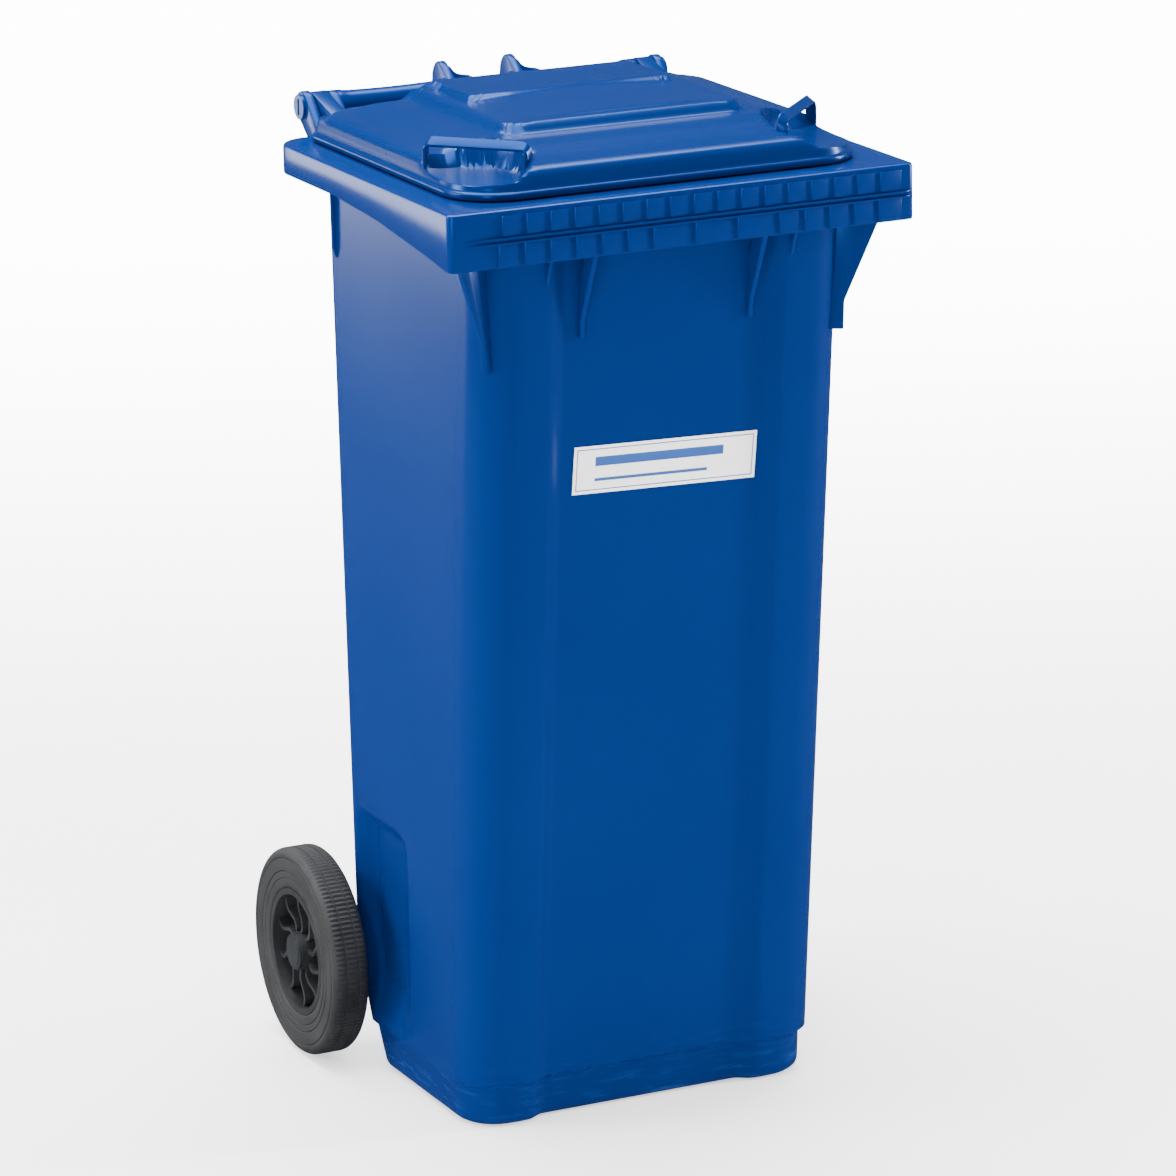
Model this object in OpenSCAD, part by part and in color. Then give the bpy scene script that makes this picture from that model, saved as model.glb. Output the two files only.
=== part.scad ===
// Two-wheeled household waste container, 120 litre class: a blow-free injection moulded
// tub with a comb rim, a domed hinged lid, a steel axle and two solid-tyred wheels.
// +X is the right-hand side seen from the front, -Y is the front, +Z is up.
// The origin is the middle of the footprint, on the ground.

/* [Container] */
// Width of the rim collar, side to side
rim_w = 470; // [400:1:570]
// Depth of the rim collar, front face to rear face
rim_d = 408; // [340:1:500]
// Height of the rim top above the ground
rim_z = 912; // [720:1:1100]
// Wall thickness of the tub and the rim
wall = 4; // [3:0.5:6]
// Height of the lifting comb at the front of the rim
comb_h = 53; // [44:1:64]
// Height of the rim skirt along the sides and the rear
skirt_h = 28; // [22:1:34]
// How far the recessed front panel lies behind the two corner columns
panel_in = 9; // [4:1:12]
// Half width of the recessed front panel
panel_half = 112; // [92:1:118]
// Depth of the hollows beside the wheels
wheel_hollow = 14; // [6:1:18]

/* [Lid] */
// Height of the closed lid's lower edge above the rim
lid_gap = 1.5; // [1:0.5:4]
// Height of the platform on the lid above the lid's lower edge
lid_rise = 49; // [40:1:60]
// Thickness of the lid shell
lid_t = 3; // [2.5:0.5:4]
// Length of each corner grip strap
grip_len = 104; // [90:1:116]

/* [Hinge and handles] */
// Diameter of the hinge pins
pin_d = 12; // [8:0.5:14]
// Diameter of the rear handle bars
bar_d = 25; // [20:1:30]

/* [Wheels] */
// Diameter of the solid rubber tyres
tyre_d = 206; // [170:1:244]
// Width of the tyres
tyre_w = 38; // [28:1:46]
// Diameter of the axle
axle_d = 20; // [14:1:24]
// Diameter on which each tyre sits on its wheel
seat_d = 126; // [104:1:140]
// Number of spokes in each wheel
spokes = 10; // [6:1:12]

/* [Label] */
// Width of the blank label
label_w = 188; // [120:1:190]
// Height of the blank label
label_h = 46; // [30:1:60]

/* [Clearances] */
// Radial clearance of a running fit
run_fit = 0.08; // [0.03:0.01:0.1]
// Radial clearance of a seated fit
seat_fit = 0.05; // [0.02:0.01:0.1]
// Gap between parts that pass each other
pass_gap = 0.8; // [0.5:0.1:2]

/* [Hidden] */
$fn = 64;

blue = "#0A4AA0";
dark = "#26282B";
rubber = "#1D1E20";
steel = "#A9ADB2";
white = "#F4F4F2";

// Places along Y, from the comb face at the front to the back of the tyres.
wheel_r = tyre_d / 2;
axle_back = rim_d;
front_y = -(axle_back + wheel_r) / 2;
rear_y = front_y + rim_d;
axle_y = front_y + axle_back;
axle_z = wheel_r;
hinge_y = rear_y + 32;
hinge_z = rim_z + 22;
ridge = 2.5;
comb_y = front_y + ridge;
rim_half = rim_w / 2;

// The tub: half width and front wall at the top and at the ground.
top_half = rim_half - 48;
base_half = top_half - 1;
front_top = front_y + 28;
front_base = front_y + 115;
back_y = rear_y - 4;
back_lean = 16;
back_cut = 54;
back_cut_z = 175;
corner_f = 42;
corner_r = 22;
plinth_z = 42;
plinth_in = 5;
hollow_z = 250;
hollow_y = axle_y - 150;
floor_t = 5;

// Lid outline at its lower edge.
lid_half = rim_half - 29;
lid_front = front_y + 29.5;
lid_rear = rear_y - 10;
lid_z = rim_z + lid_gap;

// Wheel places along X.
face_x = rim_half + 6;
tyre_x = face_x - 1;
hub_out = face_x - 3;
hub_in = hub_out - 58;
lug_out = top_half - 51;
lug_in = lug_out - 32;
axle_half = hub_out - 6;
ear_out = rim_half - 45;
ear_t = 9;
knuckle_w = 17;
lug_t = 9;
fin_x = 32;
fin_t = 8;
pin_head = 3.2;

function mix(a, b, t) = a + (b - a) * t;
function clamp01(t) = min(1, max(0, t));
function smooth(a, b, v) = let (t = clamp01((v - a) / (b - a))) t * t * (3 - 2 * t);
function arc(cx, cy, r, a0, a1, n) =
    [for (i = [0:n]) let (a = mix(a0, a1, i / n)) [cx + r * cos(a), cy + r * sin(a)]];
function mirrored(p) = concat(p, [for (i = [len(p) - 2:-1:1]) [-p[i][0], p[i][1]]]);

// Rounded rectangle with its own front and rear corner radii, counter-clockwise.
function rim_outline(hw, yf, yr, rf, rr, n) = concat(
    arc(hw - rf, yf + rf, rf, -90, 0, n),
    arc(hw - rr, yr - rr, rr, 0, 90, n),
    arc(-hw + rr, yr - rr, rr, 90, 180, n),
    arc(-hw + rf, yf + rf, rf, 180, 270, n));

// The tub's walls at a height z, moved inwards by e.
function tub_front(z) = mix(front_base, front_top, z / rim_z);
function tub_half(z) = mix(base_half, top_half, z / rim_z);
function tub_rear(z) = back_y - back_lean * (1 - z / rim_z) - back_cut * pow(clamp01(1 - z / back_cut_z), 2.2);
function tub_plinth(z) = plinth_in * (1 - smooth(plinth_z - 3, plinth_z + 3, z));
function hollow_back(z) = tub_rear(z) - corner_r - 10;
function tub_hollow(y, z) = wheel_hollow * smooth(hollow_y - 16, hollow_y + 16, y)
    * (1 - smooth(hollow_back(z) - 10, hollow_back(z) + 10, y))
    * (1 - smooth(hollow_z - 12, hollow_z + 12, z)) * smooth(48, 90, z);
function tub_ring(z, e) =
    let (
        s = tub_plinth(z) + e,
        hw = tub_half(z) - s,
        yf = tub_front(z) + s * 0.8,
        yr = tub_rear(z) - e,
        rf = corner_f - e,
        rr = corner_r - e,
        y0 = yf + rf,
        y1 = hollow_y - 16,
        y2 = hollow_y + 16,
        y3 = yr - rr,
        y4 = tub_rear(z) - corner_r - 20,
        half = concat(
            [[0, yf + panel_in]],
            [for (i = [0:3]) let (t = i / 3)
                [panel_half - 11 + 20 * t, yf + panel_in * (1 - smooth(0, 1, t))]],
            arc(hw - rf, y0, rf, -90, 0, 5),
            [for (y = [y1, mix(y1, y2, 0.33), mix(y1, y2, 0.67), y2, y4, y4 + 7, y4 + 13]) [hw - tub_hollow(y, z), y]],
            arc(hw - rr, y3, rr, 0, 90, 5),
            [[0, yr]]))
    mirrored(half);

// A closed shell through a stack of rings: rings is a list of [z, points], first to last.
module loft(rings) {
    n = len(rings[0][1]);
    m = len(rings);
    pts = [for (r = rings) for (p = r[1]) [p[0], p[1], r[0]]];
    side = [for (k = [0:m - 2]) for (i = [0:n - 1])
        let (a = k * n + i, b = k * n + (i + 1) % n)
        each [[a, a + n, b + n], [a, b + n, b]]];
    c0 = [0, mean_y(rings[0][1]), rings[0][0]];
    c1 = [0, mean_y(rings[m - 1][1]), rings[m - 1][0]];
    first = [for (i = [0:n - 1]) [i, (i + 1) % n, m * n]];
    last = [for (i = [0:n - 1]) [(m - 1) * n + (i + 1) % n, (m - 1) * n + i, m * n + 1]];
    polyhedron(concat(pts, [c0, c1]), concat(first, last, side), convexity = 8);
}

function mean_y(p) = (min([for (q = p) q[1]]) + max([for (q = p) q[1]])) / 2;

outer_levels = concat([0, 1.5, 6, plinth_z - 3, plinth_z + 3, 62, 90, 130],
    [back_cut_z, hollow_z - 12, hollow_z - 4, hollow_z + 4, hollow_z + 12, rim_z - wall / 2]);
inner_levels = concat([floor_t, floor_t + 3, 18, plinth_z + 3, 62, 90, 130],
    [back_cut_z, hollow_z - 12, hollow_z - 4, hollow_z + 4, hollow_z + 12, rim_z - wall / 2]);

// The tub's wall as one shell: up the outside, over the top and down the inside.
module tub_wall() {
    loft(concat(
        [for (z = outer_levels) [z, tub_ring(z, 6 * pow(clamp01(1 - z / 5), 2))]],
        [for (i = [len(inner_levels) - 1:-1:0]) let (z = inner_levels[i])
            [z, tub_ring(z, wall + 4 * pow(clamp01(1 - (z - floor_t) / 9), 2))]]));
}

module plate_yz(x, t) {
    translate([x, 0, 0]) rotate([90, 0, 90]) linear_extrude(t) children();
}

module both() {
    children();
    mirror([1, 0, 0]) children();
}

// Flat rim and its skirt, deeper towards the front where the comb is.
module rim_collar() {
    out = rim_outline(rim_half, comb_y, rear_y, 7, 34, 5);
    in = rim_outline(rim_half - wall, comb_y + wall, rear_y - wall, 4, 30, 5);
    difference() {
        translate([0, 0, rim_z - comb_h]) linear_extrude(comb_h) polygon(out);
        translate([0, 0, rim_z - comb_h - 1]) linear_extrude(comb_h + 1 - wall) polygon(in);
        translate([0, 0, rim_z - 2 * wall]) linear_extrude(3 * wall) polygon(tub_ring(rim_z, wall / 2));
        for (y = [comb_y + 45, comb_y + 28]) {
            translate([rim_half - 32, y, rim_z - 2 * wall]) cube([14, 3, 3 * wall]);
        }
        plate_yz(-rim_half - 1, rim_w + 2) polygon([
            [comb_y + wall + 2, rim_z - comb_h - 1],
            [comb_y + wall + 2, rim_z - comb_h + 0.5],
            [comb_y + 60, rim_z - mix(comb_h, skirt_h, 0.3)],
            [comb_y + 108, rim_z - mix(comb_h, skirt_h, 0.52)],
            [comb_y + 163, rim_z - mix(comb_h, skirt_h, 0.78)],
            [comb_y + 260, rim_z - skirt_h],
            [rear_y + 5, rim_z - skirt_h],
            [rear_y + 5, rim_z - comb_h - 1]]);
        comb_grooves();
    }
    comb_ridge();
}

// Shallow upright grooves above and below the ridge.
module comb_grooves() {
    pitch = (rim_w - 44) / 18;
    for (i = [1:17]) {
        translate([-rim_half + 22 + i * pitch - 0.8, comb_y - 1, rim_z - comb_h * 0.46])
            cube([1.6, 1.8, comb_h * 0.34]);
    }
    for (i = [1:17]) {
        if (i < 7 || i > 11 || i == 9) {
            translate([-rim_half + 22 + i * pitch - 0.8, comb_y - 1, rim_z - comb_h - 1])
                cube([1.6, 1.8, comb_h * 0.42]);
        }
    }
}

// Double horizontal ridge across the comb, with pointed ends.
module comb_ridge() {
    z = rim_z - comb_h * 0.53;
    long = rim_half - 12;
    for (dz = [0, 4.2]) {
        translate([0, 0, z + dz]) linear_extrude(2.2) polygon([
            [-long, comb_y + 1], [-long, comb_y - 0.2], [-long + 26, comb_y - ridge],
            [long - 10, comb_y - ridge], [long, comb_y - 0.2], [long, comb_y + 1]]);
    }
}

// Upright ribs that carry the comb from the tub.
module comb_gussets() {
    zb = rim_z - comb_h;
    wall_y = tub_front(zb) + panel_in + 1;
    for (x = [-86, 86]) {
        plate_yz(x - 2.5, 5) polygon([
            [comb_y + wall - 1, rim_z - wall + 1], [comb_y + wall - 1, zb + 14], [comb_y + wall + 6, zb],
            [tub_front(zb - 66) + panel_in - 5, zb - 66], [tub_front(zb - 84) + panel_in - 4, zb - 84],
            [tub_front(zb - 84) + panel_in + 2, zb - 84], [wall_y + 1, zb], [wall_y + 1, rim_z - wall + 1]]);
    }
    for (x = [-panel_half - 12, panel_half + 12]) {
        plate_yz(x - 2, 4) polygon([
            [tub_front(zb) - 9, rim_z - wall + 1], [tub_front(zb) - 9, zb],
            [tub_front(zb - 28) - 0.5, zb - 28], [tub_front(zb - 28) + 3.1, zb - 28],
            [tub_front(zb) + 2.7, zb], [tub_front(zb) + 2.7, rim_z - wall + 1]]);
    }
    both() corner_gusset();
}

// The wide slanting rib under each front corner of the rim, turned 30 degrees forwards.
module corner_gusset() {
    zb = rim_z - comb_h;
    x0 = tub_half(zb) - 12;
    y0 = tub_front(zb) + 22;
    translate([x0, y0, 0]) rotate([0, 0, -30]) translate([0, 2.5, 0]) rotate([90, 0, 0])
        linear_extrude(5) polygon([
            [-2, rim_z - wall + 1], [50, rim_z - wall + 1], [50, zb + 4], [46, zb], [12, zb - 80],
            [11, zb - 107], [-2, zb - 107]]);
}

// Thin ribs under the rim at the rear corners.
module rear_ribs() {
    zb = rim_z - skirt_h;
    both() plate_xz(back_y - 34, 4) polygon([
        [top_half - 3, rim_z - wall + 1], [top_half + 14, rim_z - wall + 1], [top_half + 5, zb - 16],
        [top_half + 4, zb - 74], [top_half + 1, zb - 84], [top_half - 3.5, zb - 84]]);
}

module plate_xz(y, t) {
    translate([0, y + t, 0]) rotate([90, 0, 0]) linear_extrude(t) children();
}

// One hinge eye seen along X: a round head with a leg down to the rim.
module eye_leg(r) {
    union() {
        translate([hinge_y, hinge_z]) circle(r);
        polygon([
            [lid_rear + 3, rim_z - 2], [lid_rear + 4, rim_z + 6], [hinge_y - r * 0.72, hinge_z + r * 0.69],
            [hinge_y + r * 0.72, hinge_z - r * 0.69], [rear_y - 0.5, rim_z - skirt_h + 4],
            [lid_rear + 3, rim_z - skirt_h + 4]]);
    }
}

// Shark-fin bracket that carries the inner end of a handle bar.
module fin_shape() {
    polygon([
        [rear_y - 3, rim_z - 3], [rear_y - 0.5, rim_z + 1], [hinge_y - 25, hinge_z + 4],
        [hinge_y - 22, hinge_z + 9], [hinge_y - 12, hinge_z + 12.5], [hinge_y, hinge_z + 18],
        [hinge_y + 9, hinge_z + 24.5], [hinge_y + 16, hinge_z + 27], [hinge_y + 23, hinge_z + 25],
        [hinge_y + 29, hinge_z + 18], [hinge_y + 32, hinge_z + 7], [hinge_y + 30, hinge_z - 3],
        [hinge_y + 20, hinge_z - 12], [hinge_y + 8, hinge_z - 15], [rear_y - 0.5, rim_z - skirt_h + 1],
        [rear_y - 3, rim_z - skirt_h + 1]]);
}

module rear_handles() {
    both() {
        difference() {
            union() {
                plate_yz(ear_out - ear_t, ear_t) eye_leg(15);
                plate_yz(ear_out - ear_t - knuckle_w - 2 * pass_gap - lug_t, lug_t) eye_leg(13);
                plate_yz(fin_x, fin_t) fin_shape();
                translate([fin_x + fin_t - 1, hinge_y, hinge_z]) rotate([0, 90, 0])
                    cylinder(d = bar_d, h = bar_inner_end() - fin_x - fin_t + 2);
            }
            translate([bar_inner_end() - 18, hinge_y, hinge_z]) rotate([0, 90, 0])
                cylinder(d = pin_d + 2 * seat_fit, h = 80);
        }
    }
    translate([-fin_x - 1, rear_y - 2, rim_z - skirt_h + 4]) cube([2 * fin_x + 2, 8, 18]);
    translate([-fin_x - 1, hinge_y, hinge_z]) rotate([0, 90, 0]) cylinder(d = bar_d - 1, h = 2 * fin_x + 2);
}

function bar_inner_end() = ear_out - ear_t - knuckle_w - 2 * pass_gap - lug_t;

// Bearing lugs for the axle, low on the rear wall.
module lug_shape(r, drop) {
    back = tub_rear(axle_z);
    union() {
        translate([axle_y, axle_z]) circle(r);
        polygon([
            [back - 3, axle_z + 62], [back + 9, axle_z + 62], [axle_y + 4, axle_z + r - 1],
            [axle_y + 4, axle_z - r + 1], [tub_rear(axle_z - drop) - 2.5, axle_z - drop]]);
    }
}

module axle_lugs() {
    difference() {
        both() {
            plate_yz(lug_in, lug_out - lug_in) lug_shape(axle_d / 2 + 7, 36);
            plate_yz(34, 6) lug_shape(axle_d / 2 + 6, 36);
        }
        translate([-rim_half, axle_y, axle_z]) rotate([0, 90, 0]) cylinder(d = axle_d + 2 * seat_fit, h = rim_w);
    }
}

module container_body() {
    color(blue) {
        tub_wall();
        rim_collar();
        comb_gussets();
        rear_ribs();
        rear_handles();
        axle_lugs();
    }
}

// Rings of the lid, from its lower edge to the platform: [half width, front, rear, corner, z].
function lid_rings(e) = [
    [lid_half, lid_front, lid_rear, 54, lid_z],
    [lid_half + 0.5, lid_front - 0.5, lid_rear, 54, lid_z + 5],
    [lid_half - 2.5, lid_front + 3, lid_rear - 1, 52, lid_z + 7],
    [lid_half - 6, lid_front + 7, lid_rear - 2, 49, lid_z + 20],
    [lid_half - 9, lid_front + 12, lid_rear - 4, 47, lid_z + 24],
    [lid_half - 16, lid_front + 21, lid_rear - 9, 42, lid_z + 27],
    [lid_half - 76, lid_front + 84, lid_rear - 34, 24, lid_z + lid_rise - 9.5],
    [lid_half - 79, lid_front + 87, lid_rear - 36, 22, lid_z + lid_rise - 8.5],
    [lid_half - 92, lid_front + 98, lid_rear - 46, 12, lid_z + lid_rise - 1],
    [lid_half - 96, lid_front + 101, lid_rear - 50, 10, lid_z + lid_rise]];

function ring_of(r, e) = rim_outline(r[0] - e, r[1] + e, r[2] - e, max(3, r[3] - e), max(3, r[3] * 0.5 - e), 6);

module lid_solid(e) {
    rings = lid_rings(0);
    loft([for (i = [0:len(rings) - 1]) let (r = rings[i])
        [r[4] - (i == 0 ? (e > 0 ? 1 : 0) : e), ring_of(r, e)]]);
}

grip_a = 47;
scoop_x = lid_half - 22;
scoop_y = lid_front + 50;
scoop_r = 56;

module scoop(e) {
    both() translate([scoop_x, scoop_y, lid_z + 12 - e]) cylinder(r = scoop_r + e, h = 80);
}

// Strap across each scooped front corner of the lid.
module grip_strap() {
    translate([scoop_x - 21, scoop_y + 19, 0]) rotate([0, 0, grip_a]) {
        difference() {
            translate([-grip_len / 2, -3, lid_z + 14]) cube([grip_len, 6, 27]);
            translate([-grip_len / 2 + 8, -4, lid_z + 5]) cube([grip_len - 16, 8, 24]);
        }
    }
}

// Hinge arm of the lid seen along X: a round knuckle and the arm to the lid's rear edge.
module knuckle_shape() {
    union() {
        translate([hinge_y, hinge_z]) circle(13.5);
        polygon([
            [lid_rear - 8, lid_z + 20], [hinge_y - 5, hinge_z + 12.5], [hinge_y + 5, hinge_z - 12.5],
            [lid_rear - 1, lid_z + 7], [lid_rear - 8, lid_z + 8]]);
    }
}

// Raised rear field of the platform and the arched field in front of it.
module platform() {
    r = lid_rings(0)[9];
    top = r[4];
    half = r[0] - 4;
    step_y = mix(r[1], r[2], 0.52);
    translate([0, 0, top - 1.5]) linear_extrude(7.5) polygon([
        [-half, step_y], [half, step_y], [half - 8, step_y + 16], [half - 14, r[2] - 4],
        [-half + 14, r[2] - 4], [-half + 8, step_y + 16]]);
    plate_xz(r[1] + 5, step_y - r[1]) polygon(concat(
        [[half, top - 1.5], [-half, top - 1.5]],
        [for (i = [0:16]) let (x = mix(-half, half, i / 16)) [x, top + 5 * (1 - pow(x / half, 2)) + 0.2]]));
}

module lid() {
    color(blue) {
        difference() {
            union() {
                difference() {
                    lid_solid(0);
                    scoop(0);
                }
                platform();
            }
            difference() {
                lid_solid(lid_t);
                scoop(lid_t);
            }
        }
        both() grip_strap();
        both() difference() {
            union() {
                x0 = ear_out - ear_t - knuckle_w - pass_gap;
                plate_yz(x0, knuckle_w) knuckle_shape();
            }
            translate([ear_out - 60, hinge_y, hinge_z]) rotate([0, 90, 0])
                cylinder(d = pin_d + 2 * run_fit, h = 60);
        }
    }
}

module hinge_pin(s) {
    color(blue) mirror([s < 0 ? 1 : 0, 0, 0]) difference() {
        union() {
            translate([bar_inner_end() - 14, hinge_y, hinge_z]) rotate([0, 90, 0])
                cylinder(d = pin_d, h = ear_out - bar_inner_end() + 14.5);
            translate([ear_out + seat_fit, hinge_y, hinge_z]) rotate([0, 90, 0]) cylinder(d = 24, h = pin_head);
        }
        translate([ear_out + pin_head - 1, hinge_y - 2, hinge_z - 8]) cube([4, 4, 16]);
    }
}

module axle() {
    color(steel) translate([-axle_half, axle_y, axle_z]) rotate([0, 90, 0]) cylinder(d = axle_d, h = 2 * axle_half);
}

module at_wheel(s) {
    mirror([s < 0 ? 1 : 0, 0, 0]) translate([0, axle_y, axle_z]) rotate([0, 90, 0]) children();
}

// Curved spoke between the hub and the rim, drawn flat.
module spoke_shape(r0, r1, t) {
    n = 8;
    bow = 5;
    function line(k) = [for (i = [0:n]) let (u = i / n) [mix(r0, r1, u), bow * sin(360 * u) + k]];
    a = line(-t / 2);
    b = line(t / 2);
    polygon(concat(a, [for (i = [n:-1:0]) b[i]]));
}

module wheel_rim(s) {
    seat = seat_d / 2;
    bore = axle_d / 2 + run_fit;
    color(dark) at_wheel(s) difference() {
        union() {
            translate([0, 0, hub_in]) cylinder(r = 19, h = hub_out - hub_in);
            difference() {
                translate([0, 0, tyre_x - tyre_w + 2]) cylinder(r = seat, h = tyre_w - 4);
                translate([0, 0, tyre_x - tyre_w]) cylinder(r = seat - 6, h = tyre_w + 4);
            }
            translate([0, 0, tyre_x - tyre_w + 12]) cylinder(r = seat - 3, h = 4);
            for (i = [0:spokes - 1]) {
                rotate([0, 0, i * 360 / spokes]) translate([0, 0, tyre_x - tyre_w + 13])
                    linear_extrude(tyre_w - 21) spoke_shape(17, seat - 4, 4);
            }
        }
        translate([0, 0, hub_in - 1]) cylinder(r = bore, h = 80);
        translate([0, 0, hub_out - 12]) cylinder(r = 14.5, h = 20);
        for (i = [0:spokes - 1]) {
            rotate([0, 0, (i + 0.5) * 360 / spokes]) translate([seat * 0.62, 0, tyre_x - tyre_w])
                cylinder(r = 7, h = tyre_w);
        }
    }
}

// Tyre section: flat tread with round shoulders, a stepped sidewall and a bead.
module tyre(s) {
    r0 = seat_d / 2 + seat_fit;
    w = tyre_w;
    color(rubber) at_wheel(s) translate([0, 0, tyre_x - w]) rotate_extrude($fn = 120) polygon(concat(
        [[r0, 2], [r0 + 5, 0.6], [wheel_r - 22, 0.6], [wheel_r - 18, 0]],
        arc(wheel_r - 8, 8, 8, -90, 0, 5),
        [[wheel_r, 12], [wheel_r - 1.2, 12.6], [wheel_r - 1.2, 14], [wheel_r, 14.6]],
        [[wheel_r, w - 14.6], [wheel_r - 1.2, w - 14], [wheel_r - 1.2, w - 12.6], [wheel_r, w - 12]],
        arc(wheel_r - 8, w - 8, 8, 0, 90, 5),
        [[wheel_r - 18, w], [wheel_r - 22, w - 0.6], [r0 + 5, w - 0.6], [r0, w - 2]]));
}

module spacer(s) {
    color(dark) at_wheel(s) difference() {
        translate([0, 0, lug_out + 0.3]) cylinder(r = 15, h = hub_in - lug_out - 0.6);
        translate([0, 0, lug_out - 1]) cylinder(r = axle_d / 2 + seat_fit, h = hub_in - lug_out + 2);
    }
}

module retaining_ring(s) {
    color(steel) at_wheel(s) difference() {
        translate([0, 0, hub_out - 11.7]) cylinder(r = 13.8, h = 1.6);
        translate([0, 0, hub_out - 13]) cylinder(r = axle_d / 2 + seat_fit, h = 5);
    }
}

module hub_cap(s) {
    color(dark) at_wheel(s) difference() {
        union() {
            translate([0, 0, hub_out + 0.1]) cylinder(r = 17.5, h = 2.2);
            translate([0, 0, hub_out + 2.2]) cylinder(r = 14, h = face_x - hub_out - 2.2);
            translate([0, 0, hub_out - 5]) cylinder(r = 14.5 - seat_fit, h = 6);
        }
        translate([0, 0, hub_out - 6]) cylinder(r = 12.5, h = 6);
    }
}

module front_label() {
    tilt = atan((front_base - front_top) / rim_z);
    zc = rim_z * 0.706;
    color(white) translate([4, tub_front(zc) + panel_in - 0.03, zc]) rotate([tilt, 0, 0]) rotate([0, 2, 0])
        translate([-label_w / 2, -0.5, -label_h / 2]) cube([label_w, 0.5, label_h]);
}

container_body();
lid();
hinge_pin(-1);  // hinge_pin_left
hinge_pin(1);  // hinge_pin_right
axle();
wheel_rim(-1);  // wheel_rim_left
wheel_rim(1);  // wheel_rim_right
tyre(-1);  // tyre_left
tyre(1);  // tyre_right
spacer(-1);  // spacer_left
spacer(1);  // spacer_right
retaining_ring(-1);  // retaining_ring_left
retaining_ring(1);  // retaining_ring_right
hub_cap(-1);  // hub_cap_left
hub_cap(1);  // hub_cap_right
front_label();
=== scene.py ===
"""Two-wheeled household waste bin: moulded tub, comb rim, domed lid and solid-tyred wheels."""

import logging
import math
from dataclasses import dataclass, field
from enum import Enum

import bmesh
import bpy
from mathutils import Matrix, Vector

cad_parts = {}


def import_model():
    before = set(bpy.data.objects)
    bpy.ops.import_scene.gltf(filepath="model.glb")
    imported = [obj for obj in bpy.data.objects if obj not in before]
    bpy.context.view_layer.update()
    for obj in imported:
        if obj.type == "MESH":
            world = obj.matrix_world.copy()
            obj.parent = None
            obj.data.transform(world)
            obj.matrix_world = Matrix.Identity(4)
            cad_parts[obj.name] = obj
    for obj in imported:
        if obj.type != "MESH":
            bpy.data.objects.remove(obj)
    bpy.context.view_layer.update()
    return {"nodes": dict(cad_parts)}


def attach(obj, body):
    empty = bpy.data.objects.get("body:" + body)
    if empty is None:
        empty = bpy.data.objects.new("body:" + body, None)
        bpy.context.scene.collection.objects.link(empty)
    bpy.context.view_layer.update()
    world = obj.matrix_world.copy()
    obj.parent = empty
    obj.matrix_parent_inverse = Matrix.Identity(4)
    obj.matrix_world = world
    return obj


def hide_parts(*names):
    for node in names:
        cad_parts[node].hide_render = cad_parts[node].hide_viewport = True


LOG = logging.getLogger("bin")
MM = 0.001
Ring = list[tuple[float, float, float]]
Outline = list[tuple[float, float]]


# ---------------------------------------------------------------- small maths


def mix(a: float, b: float, t: float) -> float:
    """Value between a and b at fraction t."""
    return a + (b - a) * t


def smooth(a: float, b: float, v: float) -> float:
    """Soft step of v, from 0 at a to 1 at b."""
    t = min(1.0, max(0.0, (v - a) / (b - a)))
    return t * t * (3 - 2 * t)


def arc(cx: float, cy: float, r: float, a0: float, a1: float, n: int) -> Outline:
    """Points of a circular arc.

    Args:
        cx, cy: centre.
        r: radius.
        a0, a1: first and last angle in degrees.
        n: number of steps.

    Returns:
        n + 1 points, ends included.
    """
    angles = [math.radians(mix(a0, a1, i / n)) for i in range(n + 1)]
    return [(cx + r * math.cos(a), cy + r * math.sin(a)) for a in angles]


def both_sides(half: Outline) -> Outline:
    """Closes a right-hand half outline, front to rear, with its mirror image."""
    return half + [(-x, y) for x, y in reversed(half[1:-1])]


def box_distance(x: float, y: float, hw: float, y0: float, y1: float, r: float) -> float:
    """Distance inside a rounded rectangle.

    Args:
        x, y: the point.
        hw: half width.
        y0, y1: front and rear edge.
        r: corner radius.

    Returns:
        Depth inside the edge, negative outside.
    """
    qx = abs(x) - hw + r
    qy = abs(y - (y0 + y1) / 2) - (y1 - y0) / 2 + r
    outside = math.hypot(max(qx, 0.0), max(qy, 0.0))
    return r - outside - min(max(qx, qy), 0.0)


# ---------------------------------------------------------------- materials


def srgb(code: str) -> tuple[float, float, float, float]:
    """Linear colour of an sRGB hex code such as 1A2B3C."""
    parts = [int(code[i:i + 2], 16) / 255 for i in (0, 2, 4)]
    linear = [c / 12.92 if c <= 0.04045 else ((c + 0.055) / 1.055) ** 2.4 for c in parts]
    return (linear[0], linear[1], linear[2], 1.0)


def add_node(tree: bpy.types.NodeTree, kind: str, values: dict | None = None,
             links: dict | None = None, **settings: object) -> bpy.types.Node:
    """Adds one node.

    Args:
        tree: the node tree.
        kind: Blender's node type name.
        values: input name or number to a constant.
        links: input name or number to the output socket that feeds it.
        settings: attributes of the node itself.

    Returns:
        The new node.
    """
    node = tree.nodes.new(kind)
    for name, value in settings.items():
        setattr(node, name, value)
    for key, value in (values or {}).items():
        node.inputs[key].default_value = value
    for key, socket in (links or {}).items():
        tree.links.new(socket, node.inputs[key])
    return node


def maths(tree: bpy.types.NodeTree, operation: str, first: bpy.types.NodeSocket,
          second: bpy.types.NodeSocket) -> bpy.types.NodeSocket:
    """Result of one calculation on two sockets."""
    return add_node(tree, "ShaderNodeMath", links={0: first, 1: second}, operation=operation).outputs[0]


def noise(tree: bpy.types.NodeTree, place: bpy.types.NodeSocket, scale: float,
          detail: float) -> bpy.types.NodeSocket:
    """Fractal noise with so many cells a metre."""
    node = add_node(tree, "ShaderNodeTexNoise", {"Scale": scale, "Detail": detail}, {"Vector": place})
    return node.outputs["Fac"]


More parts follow.
